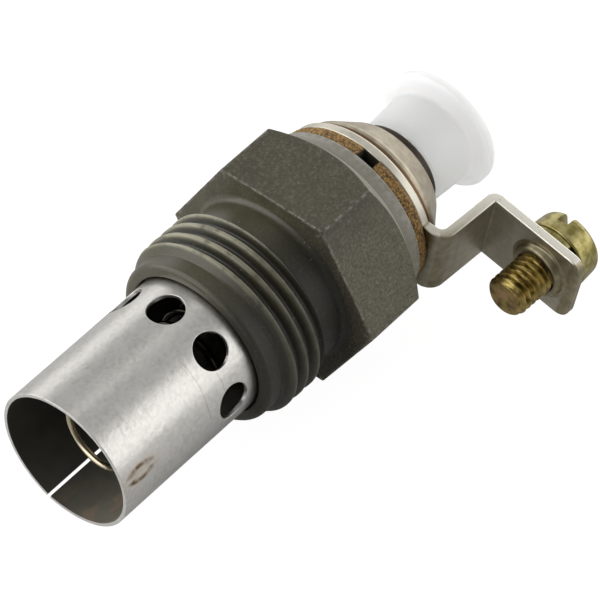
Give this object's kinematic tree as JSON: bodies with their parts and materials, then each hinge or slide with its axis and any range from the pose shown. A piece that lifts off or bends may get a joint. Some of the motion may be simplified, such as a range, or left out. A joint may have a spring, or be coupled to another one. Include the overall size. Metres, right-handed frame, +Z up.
{
  "type": "manifold flame heater plug",
  "caption": "Hexagon-bodied screw-in flame heater plug with a perforated sheet shield, igniter coil, insulated terminal strap with screw, and a fuel inlet closed by a soft transit plug.",
  "frame": {"origin": "on the plug's axis, in the plane of the hexagon's near face, which seats on the manifold", "axes": "+X along the plug's axis from the open shield to the fuel inlet, +Z up from the hexagon flat that the plug lies on, terminal strap towards -Y"},
  "size_m": [0.0615, 0.0384, 0.024],
  "materials": {
    "phosphated_steel": "matt phosphate over turned steel",
    "stainless_sheet": "satin sheet, darker inside",
    "brown_fibre": "mottled pressed fibre",
    "nickel_plate": "satin nickel plate",
    "black_steel": "blackened",
    "valve_steel": "turned",
    "white_ceramic": "unglazed",
    "resistance_wire": "drawn wire",
    "yellow_zinc": "yellow passivated zinc",
    "white_polythene": "translucent waxy moulding"
  },
  "bodies": {
    "root": {"body": "phosphated_steel", "flame_shield": "stainless_sheet", "fibre_washer": "brown_fibre", "insulating_bush": "brown_fibre", "inner_washer": "brown_fibre", "terminal_strap": "nickel_plate", "clamp_collar": "nickel_plate", "fuel_inlet": "black_steel", "valve_tube": "valve_steel", "valve_ball": "valve_steel", "valve_stem": "valve_steel", "heater_sleeve": "white_ceramic", "heater_coil": "resistance_wire", "spring_washer": "yellow_zinc", "terminal_screw": "yellow_zinc", "transit_plug": "white_polythene"}
  },
  "joints": []
}
